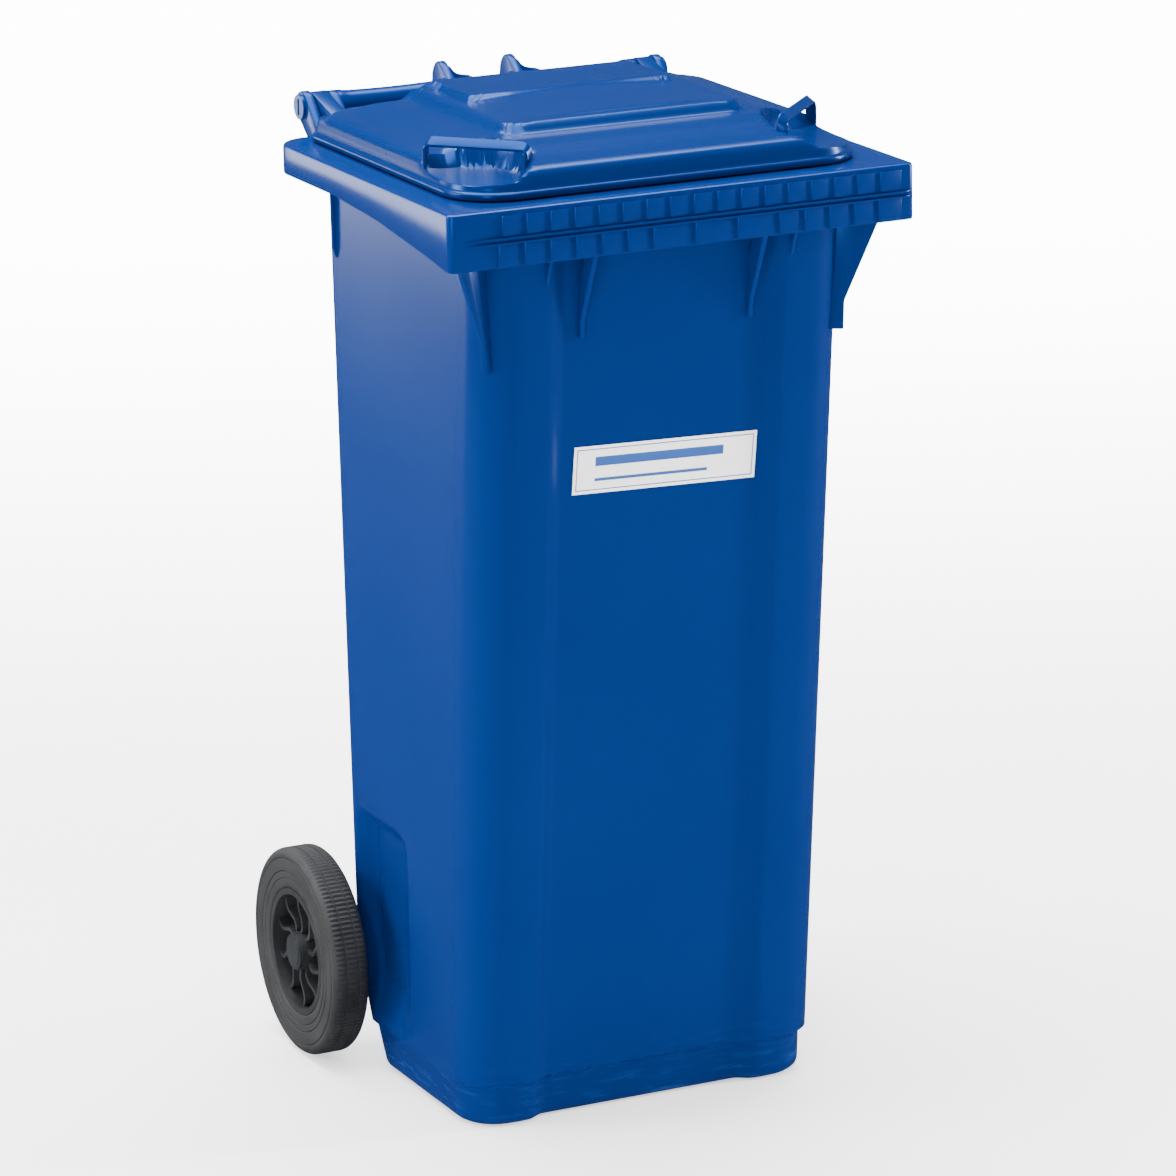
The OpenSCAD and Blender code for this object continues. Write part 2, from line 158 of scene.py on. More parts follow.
def blend(tree: bpy.types.NodeTree, factor: bpy.types.NodeSocket, first: str,
          second: str) -> bpy.types.NodeSocket:
    """Colour between two hex codes at a factor."""
    node = add_node(tree, "ShaderNodeMix", links={0: factor}, data_type="RGBA")
    node.inputs[6].default_value = srgb(first)
    node.inputs[7].default_value = srgb(second)
    return node.outputs[2]


def spread(tree: bpy.types.NodeTree, value: bpy.types.NodeSocket, low: float,
           high: float) -> bpy.types.NodeSocket:
    """Maps 0 to 1 onto low to high."""
    node = add_node(tree, "ShaderNodeMapRange", {"To Min": low, "To Max": high}, {"Value": value})
    return node.outputs[0]


def emboss(tree: bpy.types.NodeTree, height: bpy.types.NodeSocket, strength: float,
           depth: float) -> bpy.types.NodeSocket:
    """Bumped normal from a height and its depth in metres."""
    node = add_node(tree, "ShaderNodeBump", {"Strength": strength, "Distance": depth}, {"Height": height})
    return node.outputs[0]


class Finish:
    """A finish: builds its node material once and hands it out."""

    name: str = "finish"

    def build(self, tree: bpy.types.NodeTree, shader: bpy.types.Node,
              place: bpy.types.NodeSocket) -> None:
        """Fills the tree; overridden by each finish.

        Args:
            tree: the material's nodes.
            shader: its Principled BSDF.
            place: object coordinates, in metres.
        """
        raise NotImplementedError

    def material(self) -> bpy.types.Material:
        """The finish as a material."""
        found = bpy.data.materials.get(self.name)
        if found:
            return found
        mat = bpy.data.materials.new(self.name)
        mat.use_nodes = True
        tree = mat.node_tree
        tree.nodes.clear()
        shader = add_node(tree, "ShaderNodeBsdfPrincipled")
        add_node(tree, "ShaderNodeOutputMaterial", links={"Surface": shader.outputs[0]})
        place = add_node(tree, "ShaderNodeTexCoord").outputs["Object"]
        self.build(tree, shader, place)
        return mat


@dataclass(frozen=True)
class MouldedPolyethylene(Finish):
    """Injection-moulded HDPE: a waxy satin skin with faint orange peel and soft cloudiness."""

    name: str = "moulded_polyethylene_blue"
    deep: str = "00205A"
    light: str = "00235E"
    scuff: str = "2A66B0"
    sheen: str = "4C8CFF"
    roughness: float = 0.24
    dirt_top_mm: float = 70.0

    def build(self, tree: bpy.types.NodeTree, shader: bpy.types.Node,
              place: bpy.types.NodeSocket) -> None:
        """Cloudy blue with rubbed grime low down and orange peel 9 mm across."""
        cloud = add_node(tree, "ShaderNodeTexNoise", {"Scale": 6.0, "Detail": 0.5, "Roughness": 0.4},
                         {"Vector": place}).outputs["Fac"]
        base = blend(tree, cloud, self.deep, self.light)
        # Fine rubs a few centimetres long, as a bin gets on kerbs.
        stretch = add_node(tree, "ShaderNodeMapping", {"Scale": (22.0, 22.0, 160.0)}, {"Vector": place})
        rubs = add_node(tree, "ShaderNodeTexNoise", {"Scale": 1.0, "Detail": 6.0, "Roughness": 0.7},
                        {"Vector": stretch.outputs[0]})
        where = add_node(tree, "ShaderNodeSeparateXYZ", links={"Vector": place})
        low = add_node(tree, "ShaderNodeMapRange",
                       {"From Min": 0.0, "From Max": self.dirt_top_mm * MM, "To Min": 0.25, "To Max": 0.0},
                       {"Value": where.outputs["Z"]})
        sharp = add_node(tree, "ShaderNodeMapRange", {"From Min": 0.52, "From Max": 0.72},
                         {"Value": rubs.outputs["Fac"]})
        amount = maths(tree, "MULTIPLY", low.outputs[0], sharp.outputs[0])
        worn = add_node(tree, "ShaderNodeMix", links={0: amount, 6: base}, data_type="RGBA")
        worn.inputs[7].default_value = srgb(self.scuff)
        gloss = spread(tree, cloud, self.roughness - 0.02, self.roughness + 0.04)
        skin = emboss(tree, noise(tree, place, 110.0, 1.0), 0.05, 0.0004)
        tree.links.new(worn.outputs[2], shader.inputs["Base Color"])
        tree.links.new(gloss, shader.inputs["Roughness"])
        tree.links.new(skin, shader.inputs["Normal"])
        shader.inputs["IOR"].default_value = 1.5
        shader.inputs["Specular IOR Level"].default_value = 0.5
        shader.inputs["Specular Tint"].default_value = srgb(self.sheen)


@dataclass(frozen=True)
class MouldedPolypropylene(Finish):
    """Injection-moulded black polypropylene: slightly grey satin with a fine spark texture."""

    name: str = "moulded_polypropylene_black"
    dark: str = "17181A"
    light: str = "2B2D30"
    roughness: float = 0.42

    def build(self, tree: bpy.types.NodeTree, shader: bpy.types.Node,
              place: bpy.types.NodeSocket) -> None:
        """Near-black with dusty patches and a 0.8 mm spark grain."""
        cloud = noise(tree, place, 40.0, 4.0)
        rough = spread(tree, cloud, self.roughness - 0.06, self.roughness + 0.1)
        grain = emboss(tree, noise(tree, place, 1250.0, 2.0), 0.2, 0.0002)
        tree.links.new(blend(tree, cloud, self.dark, self.light), shader.inputs["Base Color"])
        tree.links.new(rough, shader.inputs["Roughness"])
        tree.links.new(grain, shader.inputs["Normal"])
        shader.inputs["IOR"].default_value = 1.49


@dataclass(frozen=True)
class SolidRubber(Finish):
    """Press-moulded recycled rubber: dull charcoal, speckled, with a coarse crumb grain."""

    name: str = "solid_rubber_charcoal"
    dark: str = "101112"
    light: str = "26272A"
    roughness: float = 0.72

    def build(self, tree: bpy.types.NodeTree, shader: bpy.types.Node,
              place: bpy.types.NodeSocket) -> None:
        """Charcoal with crumbs 1 mm across and soft dusty bloom."""
        bloom = add_node(tree, "ShaderNodeTexNoise", {"Scale": 26.0, "Detail": 5.0, "Roughness": 0.6},
                         {"Vector": place})
        crumb = add_node(tree, "ShaderNodeTexVoronoi", {"Scale": 1000.0}, {"Vector": place})
        both = add_node(tree, "ShaderNodeMath", {1: 0.35},
                        {0: crumb.outputs["Distance"], 2: bloom.outputs["Fac"]}, operation="MULTIPLY_ADD")
        span = add_node(tree, "ShaderNodeMapRange", {"From Min": 0.35, "From Max": 1.0},
                        {"Value": both.outputs[0]})
        tree.links.new(blend(tree, span.outputs[0], self.dark, self.light), shader.inputs["Base Color"])
        tree.links.new(emboss(tree, crumb.outputs["Distance"], 0.35, 0.0003), shader.inputs["Normal"])
        shader.inputs["Roughness"].default_value = self.roughness
        shader.inputs["IOR"].default_value = 1.52


@dataclass(frozen=True)
class ZincPlatedSteel(Finish):
    """Drawn steel bar with bright zinc: fine lines along the bar and soft grey bloom."""

    name: str = "zinc_plated_steel"
    dark: str = "8D9297"
    light: str = "C3C7CB"

    def build(self, tree: bpy.types.NodeTree, shader: bpy.types.Node,
              place: bpy.types.NodeSocket) -> None:
        """Drawing lines 0.5 mm apart along X, and plating spangle 6 mm across."""
        lines = add_node(tree, "ShaderNodeMapping", {"Scale": (20.0, 2000.0, 2000.0)}, {"Vector": place})
        drawn = noise(tree, lines.outputs[0], 1.0, 3.0)
        bloom = noise(tree, place, 160.0, 3.0)
        tree.links.new(blend(tree, bloom, self.dark, self.light), shader.inputs["Base Color"])
        tree.links.new(spread(tree, drawn, 0.26, 0.44), shader.inputs["Roughness"])
        tree.links.new(emboss(tree, drawn, 0.15, 0.0001), shader.inputs["Normal"])
        shader.inputs["Metallic"].default_value = 1.0


@dataclass(frozen=True)
class PrintedFilm(Finish):
    """White self-adhesive vinyl with a plain printed keyline and two plain bars."""

    name: str = "printed_vinyl_film"
    paper: str = "F6F6F4"
    ink: str = "1B4C98"
    middle_x_mm: float = 4.0
    middle_z_mm: float = 643.9
    slant_deg: float = 2.0
    half_w_mm: float = 94.0
    half_h_mm: float = 23.0

    def _band(self, tree: bpy.types.NodeTree, value: bpy.types.NodeSocket, low: float,
              high: float) -> bpy.types.NodeSocket:
        """1 where value lies between low and high metres."""
        mid, half = (low + high) / 2, (high - low) / 2
        node = add_node(tree, "ShaderNodeMath", {1: mid, 2: half}, {0: value}, operation="COMPARE")
        return node.outputs[0]

    def build(self, tree: bpy.types.NodeTree, shader: bpy.types.Node,
              place: bpy.types.NodeSocket) -> None:
        """Keyline 1 mm wide, 3 mm in; one bar 9 mm and one rule 3 mm high."""
        centre = (self.middle_x_mm * MM, 0.0, self.middle_z_mm * MM)
        moved = add_node(tree, "ShaderNodeVectorMath", {1: centre}, {0: place}, operation="SUBTRACT")
        level = add_node(tree, "ShaderNodeMapping", {"Rotation": (0.0, -math.radians(self.slant_deg), 0.0)},
                         {"Vector": moved.outputs[0]})
        where = add_node(tree, "ShaderNodeSeparateXYZ", links={"Vector": level.outputs[0]})
        across, up = where.outputs["X"], where.outputs["Z"]
        w, h = self.half_w_mm * MM, self.half_h_mm * MM

        def box(x0: float, x1: float, z0: float, z1: float) -> bpy.types.NodeSocket:
            return maths(tree, "MULTIPLY", self._band(tree, across, x0, x1), self._band(tree, up, z0, z1))

        def inside(margin: float) -> bpy.types.NodeSocket:
            return box(-w + margin, w - margin, -h + margin, h - margin)

        total = maths(tree, "SUBTRACT", inside(0.003), inside(0.004))
        for bar in ((-0.072, 0.060, 0.003, 0.012), (-0.072, 0.044, -0.0115, -0.0085)):
            total = maths(tree, "MAXIMUM", total, box(*bar))
        fleck = emboss(tree, noise(tree, place, 900.0, 2.0), 0.05, 0.0001)
        tree.links.new(blend(tree, total, self.paper, self.ink), shader.inputs["Base Color"])
        tree.links.new(fleck, shader.inputs["Normal"])
        shader.inputs["Roughness"].default_value = 0.38


@dataclass(frozen=True)
class StudioPaintAndPaintedGlow(Finish):
    """Matt emulsion of the studio floor and wall, with a painted glow in place of light falling on the wall
    behind.
    """

    name: str = "matt_studio_paint_painted_glow"
    tone: str = "F4F4F5"
    glow: float = 11.0

    def build(self, tree: bpy.types.NodeTree, shader: bpy.types.Node,
              place: bpy.types.NodeSocket) -> None:
        """Plain pale paint with a trace of unevenness, and a painted glow that grows towards the wall,
        standing in for light from behind.
        """
        rough = spread(tree, noise(tree, place, 1.5, 3.0), 0.75, 0.9)
        away = add_node(tree, "ShaderNodeVectorMath", {1: (0.4287, 0.9034, 0.0)}, {0: place},
                        operation="DOT_PRODUCT")
        # Painted glow: emission rising from near the bin to the wall, in place of light falling on the
        # backdrop.
        glow = add_node(tree, "ShaderNodeMapRange",
                        {"From Min": 0.6, "From Max": 4.2, "To Min": 0.9, "To Max": self.glow},
                        {"Value": away.outputs["Value"]}, interpolation_type="SMOOTHSTEP")
        tree.links.new(glow.outputs[0], shader.inputs["Emission Strength"])
        shader.inputs["Emission Color"].default_value = (1.0, 1.0, 1.0, 1.0)
        tree.links.new(rough, shader.inputs["Roughness"])
        shader.inputs["Base Color"].default_value = srgb(self.tone)


class Finishes(Enum):
    """The finishes by use, with the record's slot that each stands for."""

    BODY = (MouldedPolyethylene(), "hdpe_body")
    # The lid's blue is painted darker than the body's: painted shade that offsets the stronger overhead light
    # on its top.
    LID = (MouldedPolyethylene(name="moulded_polyethylene_blue_lid_painted_darker", deep="001E54", light="002158",
                               roughness=0.24, dirt_top_mm=1.0), "hdpe_lid")
    PIN = (MouldedPolyethylene(name="moulded_polyethylene_blue_pin", deep="00225C", light="002864",
                               dirt_top_mm=1.0), "pin_plastic")
    WHEEL = (MouldedPolypropylene(), "wheel_plastic")
    CAP = (MouldedPolypropylene(name="moulded_polypropylene_cap", dark="16181A",
                                light="2A2D30"), "cap_plastic")
    TYRE = (SolidRubber(), "tyre_rubber")
    STEEL = (ZincPlatedSteel(), "axle_steel")
    LABEL = (PrintedFilm(), "label_film")


# ---------------------------------------------------------------- mesh making


def loft(bm: bmesh.types.BMesh, rings: list[Ring], caps: bool = True) -> None:
    """Skins a stack of rings that all have the same number of points.

    Args:
        bm: the mesh to add to.
        rings: the rings, each a closed list of points.
        caps: closes the first and the last ring with a face.
    """
    count = len(rings[0])
    start = bmesh.ops.create_circle(bm, cap_ends=False, segments=count, radius=1.0)["verts"]
    order = list(start)
    for vert, point in zip(order, rings[0]):
        vert.co = point
    if caps:
        bm.faces.new(list(reversed(order)))
    edges = [bm.edges.get((order[i], order[(i + 1) % count])) for i in range(count)]
    for ring in rings[1:]:
        made = bmesh.ops.extrude_edge_only(bm, edges=edges)["geom"]
        fresh = {g for g in made if isinstance(g, bmesh.types.BMVert)}
        following = []
        for vert in order:
            following.append(next(e.other_vert(vert) for e in vert.link_edges if e.other_vert(vert) in fresh))
        for vert, point in zip(following, ring):
            vert.co = point
        order = following
        edges = [bm.edges.get((order[i], order[(i + 1) % count])) for i in range(count)]
    if caps:
        bm.faces.new(order)


class Plane(Enum):
    """The plane a plate's outline is drawn in; it is thickened along the third axis."""

    YZ = "YZ"
    XZ = "XZ"
    XY = "XY"


def plate(bm: bmesh.types.BMesh, outline: Outline, plane: Plane, start: float, thick: float,
          edge: float = 0.8) -> list[bmesh.types.BMVert]:
    """A flat plate with softened edges.

    Args:
        bm: the mesh to add to.
        outline: corners in the plate's own plane.
        plane: the plane they lie in.
        start: where the plate begins along the third axis.
        thick: its thickness.
        edge: bevel width; 0 leaves it sharp.

    Returns:
        The plate's vertices.
    """
    place = {Plane.YZ: lambda a, b, c: (c, a, b), Plane.XZ: lambda a, b, c: (a, c, b),
             Plane.XY: lambda a, b, c: (a, b, c)}[plane]
    before = set(bm.verts)
    verts = [bm.verts.new(place(a, b, start)) for a, b in outline]
    face = bm.faces.new(verts)
    out = bmesh.ops.extrude_face_region(bm, geom=[face])["geom"]
    far = [g for g in out if isinstance(g, bmesh.types.BMVert)]
    bmesh.ops.translate(bm, verts=far, vec=Vector(place(0, 0, thick)))
    mine = [v for v in bm.verts if v not in before]
    if edge > 0:
        edges = {e for v in mine for e in v.link_edges}
        sharp = [e for e in edges if len(e.link_faces) == 2 and e.calc_face_angle(0.0) > 0.5]
        bmesh.ops.bevel(bm, geom=sharp, offset=edge, segments=2, profile=0.5, material=-1,
                        affect="EDGES", clamp_overlap=True)
    return [v for v in bm.verts if v not in before]


def mirror_across(bm: bmesh.types.BMesh) -> None:
    """Adds the mirror image across X = 0 of everything in the mesh."""
    whole = bm.verts[:] + bm.edges[:] + bm.faces[:]
    copy = bmesh.ops.duplicate(bm, geom=whole)["geom"]
    verts = [g for g in copy if isinstance(g, bmesh.types.BMVert)]
    bmesh.ops.scale(bm, vec=(-1, 1, 1), verts=verts)
    bmesh.ops.reverse_faces(bm, faces=[g for g in copy if isinstance(g, bmesh.types.BMFace)])


def finish_piece(bm: bmesh.types.BMesh, name: str, body: str, finish: Finishes, nodes: tuple[str, ...],
                 crease_deg: float = 32.0) -> bpy.types.Object:
    """Turns a mesh in millimetres into a piece of the model.

    Args:
        bm: the mesh, freed afterwards.
        name: the piece's name.
        body: the moving body it rides on.
        finish: its finish.
        nodes: the frame nodes that it stands for.
        crease_deg: edges sharper than this stay crisp.

    Returns:
        The new object.
    """
    bmesh.ops.remove_doubles(bm, verts=bm.verts, dist=0.001)
    bmesh.ops.recalc_face_normals(bm, faces=bm.faces)
    bmesh.ops.scale(bm, vec=(MM, MM, MM), verts=bm.verts)
    mesh = bpy.data.meshes.new(name)
    bm.to_mesh(mesh)
    bm.free()
    mesh.shade_smooth()
    mesh.set_sharp_from_angle(angle=math.radians(crease_deg))
    obj = bpy.data.objects.new(name, mesh)
    bpy.context.scene.collection.objects.link(obj)
    mesh.materials.append(finish.value[0].material())
    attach(obj, body)
    if nodes:
        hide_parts(*nodes)
    LOG.info("%s: %d faces on %s", name, len(mesh.polygons), body)
    return obj


# ---------------------------------------------------------------- shared sizes


@dataclass(frozen=True)
class Sizes:
    """Sizes of the bin in millimetres, shared by its sub-assemblies."""

    rim_half: float = 235.0
    rim_z: float = 912.0
    wall: float = 4.0
    comb_h: float = 53.0
    skirt_h: float = 28.0
    panel_in: float = 9.0
    panel_half: float = 112.0
    comb_y: float = -253.0
    rear_y: float = 152.5
    back_y: float = 148.5
    back_lean: float = 16.0
    foot_in: float = 54.0
    foot_z: float = 175.0
    foot_power: float = 2.2
    top_half: float = 187.0
    base_half: float = 186.0
    corner_f: float = 42.0
    corner_r: float = 22.0
    front_top: float = -227.5
    front_base: float = -140.5
    hollow: float = 14.0
    hollow_y: float = 2.5
    hollow_z: float = 250.0
    plinth_z: float = 42.0
    plinth_in: float = 5.0
    axle_y: float = 152.5
    axle_z: float = 103.0
    hinge_y: float = 184.5
    hinge_z: float = 934.0
    ear_out: float = 190.0
    ear_t: float = 9.0
    knuckle_w: float = 17.0
    gap: float = 0.8
    lug_t: float = 9.0
    bar_d: float = 25.0
    fin_x: float = 32.0
    fin_t: float = 8.0
    lid_half: float = 206.0
    lid_front: float = -226.0
    lid_rear: float = 142.5
    lid_z: float = 913.5

    @property
    def bar_end(self) -> float:
        """Outer end of the handle bar, against the inner hinge lug."""
        return self.ear_out - self.ear_t - self.knuckle_w - 2 * self.gap - self.lug_t

    def tub_front(self, z: float) -> float:
        """Front face of the corner columns at a height."""
        return mix(self.front_base, self.front_top, z / self.rim_z)

    def tub_half(self, z: float) -> float:
        """Half width of the tub at a height."""
        return mix(self.base_half, self.top_half, z / self.rim_z)

    def tub_rear(self, z: float) -> float:
        """Rear wall of the tub, cut forwards below the axle."""
        lean = self.back_lean * (1 - z / self.rim_z)
        return self.back_y - lean - self.foot_in * max(0.0, 1 - z / self.foot_z) ** self.foot_power

    def hollow_at(self, y: float, z: float) -> float:
        """Depth of the hollow beside a wheel."""
        rear = self.tub_rear(z) - self.corner_r - 10
        return (self.hollow * smooth(self.hollow_y - 17, self.hollow_y + 29, y)
                * (1 - smooth(rear - 10, rear + 10, y))
                * (1 - smooth(self.hollow_z - 12, self.hollow_z + 12, z)) * smooth(48, 90, z))

    def tub_ring(self, z: float, inset: float) -> Ring:
        """The tub's outline at a height, moved inwards by inset."""
        s = self.plinth_in * (1 - smooth(self.plinth_z - 2, self.plinth_z + 2, z)) + inset
        hw, yf, yr = self.tub_half(z) - s, self.tub_front(z) + s * 0.8, self.tub_rear(z) - inset
        rf, rr = self.corner_f - inset, self.corner_r - inset
        y3 = yr - rr
        half = [(self.panel_half * 0.9 * i / 5, yf + self.panel_in) for i in range(5)]
        for i in range(12):
            t = i / 11
            half.append((self.panel_half - 11 + 20 * t, yf + self.panel_in * (1 - smooth(0, 1, t))))
        half.append((mix(self.panel_half + 9, hw - rf, 0.5), yf - 0.6))
        half += arc(hw - rf, yf + rf, rf, -90, 0, 14)
        near = [mix(yf + rf, self.hollow_y - 18, (i + 1) / 8) for i in range(7)]
        near += [mix(self.hollow_y - 18, self.hollow_y + 30, i / 8) for i in range(9)]
        edge = self.tub_rear(z) - self.corner_r
        near += [mix(self.hollow_y + 30, edge - 22, 0.5)]
        near += [mix(edge - 22, edge - 0.5, i / 7) for i in range(8)]
        half += [(hw - self.hollow_at(y, z), y) for y in near]
        half += arc(hw - rr, y3, rr, 0, 90, 12)
        half += [((hw - rr) * (3 - i) / 4, yr) for i in range(4)]
        return [(x, y, z) for x, y in both_sides(half)]

    def rim_ring(self, inset: float, z: float) -> Ring:
        """The rim's outline, with as many points as the tub's, moved inwards by inset."""
        hw, yf, yr = self.rim_half - inset, self.comb_y + inset, self.rear_y - inset
        rf, rr = max(2.0, 7.0 - inset), max(6.0, 34.0 - inset)
        half = [((hw - rf) * i / 18, yf) for i in range(18)]
        half += arc(hw - rf, yf + rf, rf, -90, 0, 14)
        half += [(hw, mix(yf + rf, yr - rr, (i + 1) / 26)) for i in range(25)]
        half += arc(hw - rr, yr - rr, rr, 0, 90, 12)
        half += [((hw - rr) * (3 - i) / 4, yr) for i in range(4)]
        return [(x, y, z) for x, y in both_sides(half)]

    def skirt_bottom(self, y: float) -> float:
        """Lower edge of the rim's skirt, deeper towards the front."""
        d = y - self.comb_y
        steps = [(0.0, 1.0), (6.0, 1.0), (60.0, 0.7), (108.0, 0.48), (163.0, 0.22), (260.0, 0.0),
                 (999.0, 0.0)]
        for (d0, f0), (d1, f1) in zip(steps, steps[1:]):
            if d <= d1:
                f = mix(f0, f1, max(0.0, d - d0) / (d1 - d0))
                return self.rim_z - mix(self.skirt_h, self.comb_h, f)
        return self.rim_z - self.skirt_h


# ---------------------------------------------------------------- container


@dataclass
class Container:
    """The moulded tub with its rim, comb, ribs, rear handles and axle lugs."""

    sizes: Sizes
    body: str = "container"
    node: str = "container_body"
    made: list[bpy.types.Object] = field(default_factory=list)

    def build(self) -> list[bpy.types.Object]:
        """Makes every piece of the container.

        Returns:
            The pieces.
        """
        self._piece("tub", self._tub(), 30.0)
        self._piece("rim_collar", self._rim(), 30.0)
        self._piece("comb_pleats", self._comb(), 25.0)
        self._piece("rim_gussets", self._gussets(), 30.0)
        self._piece("rear_handles", self._handles(), 34.0)
        self._piece("axle_lugs", self._lugs(), 30.0)
        return self.made

    def _piece(self, name: str, bm: bmesh.types.BMesh, crease: float) -> None:
        """Finishes one mesh as a piece of the container."""
        self.made.append(finish_piece(bm, name, self.body, Finishes.BODY, (self.node,), crease))

    def _tub(self) -> bmesh.types.BMesh:
        """The tapered wall, up the outside and down the inside, as one closed shell."""
        s = self.sizes
        outer = [0.0, 0.6, 2.0, 4.5, 8.0, 16.0, 28.0, 36.0, 40.0, 41.3, 42.7, 44.0, 48.0, 56.0, 64.0, 76.0,
                 90.0, 105.0, 120.0, 138.0, 156.0, 176.0, 200.0, 224.0]
        outer += [236.0 + 2.8 * i for i in range(11)] + [300.0 + 59.0 * i for i in range(11)]
        outer = [z for z in outer if z < s.rim_z - 4] + [s.rim_z - 2.0]
        inner = [5.0, 6.0, 8.0, 12.0, 20.0, 40.0, 60.0, 90.0, 120.0, 150.0, 180.0, 220.0]
        inner += [240.0 + 6.0 * i for i in range(8)] + [300.0 + 59.0 * i for i in range(11)]
        inner = [z for z in inner if z < s.rim_z - 4] + [s.rim_z - 2.0]
        rings = [s.tub_ring(z, 8.0 * max(0.0, 1 - z / 8.0) ** 2.2) for z in outer]
        rings += [s.tub_ring(z, s.wall + 6.0 * max(0.0, 1 - (z - 5) / 10) ** 2) for z in reversed(inner)]
        bm = bmesh.new()
        loft(bm, rings)
        return bm

    def _rim(self) -> bmesh.types.BMesh:
        """The flat rim and its skirt, with rounded edges."""
        s = self.sizes
        z = s.rim_z

        def low(inset: float, up: float) -> Ring:
            return [(x, y, s.skirt_bottom(y) + up) for x, y, _ in s.rim_ring(inset, z)]

        rings = [s.tub_ring(z - 6.0, s.wall - 0.02), s.tub_ring(z - 1.6, s.wall - 0.02),
                 s.tub_ring(z - 0.5, s.wall - 0.6), s.tub_ring(z, s.wall - 1.8),
                 s.rim_ring(3.0, z), s.rim_ring(1.6, z - 0.3), s.rim_ring(0.5, z - 1.2),
                 s.rim_ring(0.0, z - 3.0),
                 low(0.0, 1.2), low(0.5, 0.3), low(1.6, 0.0), low(s.wall - 0.8, 0.0), low(s.wall, 0.8),
                 s.rim_ring(s.wall, z - s.wall), s.tub_ring(z - s.wall, -0.3)]
        bm = bmesh.new()
        loft(bm, rings, caps=False)
        return bm

    def _comb(self) -> bmesh.types.BMesh:
        """Overlapping pleats above and below the double ridge, like shingles."""
        s = self.sizes
        bm = bmesh.new()
        top, mid, low = s.rim_z - 5.0, s.rim_z - s.comb_h * 0.47, s.rim_z - s.comb_h + 1.5
        left, right = -s.rim_half + 20, s.rim_half - 14
        upper = [mix(left + 30, right, i / 17) for i in range(18)]
        lower = [mix(left + 26, right, i / 16) for i in range(17)]
        lower = lower[:6] + [mix(lower[6], lower[11], i / 3) for i in range(4)] + lower[12:]
        for edges, z0, z1 in ((upper, mid + 1.5, top), (lower, low, mid - 6.5)):
            for x0, x1 in zip(edges, edges[1:]):
                self._pleat(bm, x0, x1, z0, z1)
        for dz in (0.0, -4.4):
            self._ridge(bm, mid + dz - 1.2, left - 6, right + 8)
        return bm

    def _pleat(self, bm: bmesh.types.BMesh, x0: float, x1: float, z0: float, z1: float) -> None:
        """One pleat: 2.3 mm proud at its left edge and flush at its right edge."""
        y = self.sizes.comb_y
        outline = [(x0 + 0.2, y + 0.6), (x0 + 0.9, y - 1.5), (x0 + 2.0, y - 2.3), (x0 + 3.6, y - 2.1),
                   (x1 - 0.3, y - 0.1), (x1 - 0.3, y + 0.6)]
        plate(bm, outline, Plane.XY, z0, z1 - z0, 0.35)

    def _ridge(self, bm: bmesh.types.BMesh, z: float, x0: float, x1: float) -> None:
        """One long rib with a pointed left end."""
        y = self.sizes.comb_y
        outline = [(x0, y + 0.6), (x0, y - 0.1), (x0 + 30, y - 2.4), (x1 - 6, y - 2.4), (x1, y - 0.4),
                   (x1, y + 0.6)]
        plate(bm, outline, Plane.XY, z - 1.0, 2.0, 0.6)

    def _gussets(self) -> bmesh.types.BMesh:
        """The upright ribs under the comb, the two corner ribs and the rear ribs."""
        s = self.sizes
        bm = bmesh.new()
        zb = s.rim_z - s.comb_h
        f = s.tub_front
        inner = f(zb) + s.panel_in + 2
        under = s.rim_z - s.wall + 1
        plate(bm, [(s.comb_y + 3, under), (s.comb_y + 3, zb + 14), (s.comb_y + 10, zb),
                   (f(zb - 66) + s.panel_in - 5, zb - 66), (f(zb - 84) + s.panel_in - 4, zb - 84),
                   (f(zb - 84) + s.panel_in + 2, zb - 84), (inner, zb), (inner, under)],
              Plane.YZ, 83.5, 5.0, 0.9)
        plate(bm, [(f(zb) - 9, under), (f(zb) - 9, zb), (f(zb - 28) - 0.5, zb - 28),
                   (f(zb - 28) + 3, zb - 28), (f(zb) + 2.7, zb), (f(zb) + 2.7, under)],
              Plane.YZ, s.panel_half + 10, 4.0, 0.8)
        corner = plate(bm, [(-2, under), (50, under), (50, zb + 4), (46, zb), (12, zb - 80), (11, zb - 107),
                            (-2, zb - 107)], Plane.XZ, -2.5, 5.0, 0.9)
        stand = Matrix.Translation((s.tub_half(zb) - 12, f(zb) + 22, 0))
        turn = stand @ Matrix.Rotation(math.radians(-30), 4, "Z")
        bmesh.ops.transform(bm, matrix=turn, verts=corner)
        side = s.rim_z - s.skirt_h
        plate(bm, [(s.top_half - 3, under), (s.top_half + 14, under), (s.top_half + 5, side - 16),
                   (s.top_half + 4, side - 74), (s.top_half + 1, side - 84), (s.top_half - 3.5, side - 84)],
              Plane.XZ, s.back_y - 34, 4.0, 0.8)
        mirror_across(bm)
        return bm

    def _eye(self, r: float) -> Outline:
        """Outline of a hinge ear: a round head with a leg down to the rim, seen along X."""
        s = self.sizes
        head = arc(s.hinge_y, s.hinge_z, r, 136, -44, 26)
        return [(s.lid_rear + 3, s.rim_z - 1), (s.lid_rear + 4, s.rim_z + 6)] + head + [
            (s.rear_y - 0.5, s.rim_z - s.skirt_h + 4), (s.lid_rear + 3, s.rim_z - s.skirt_h + 4)]

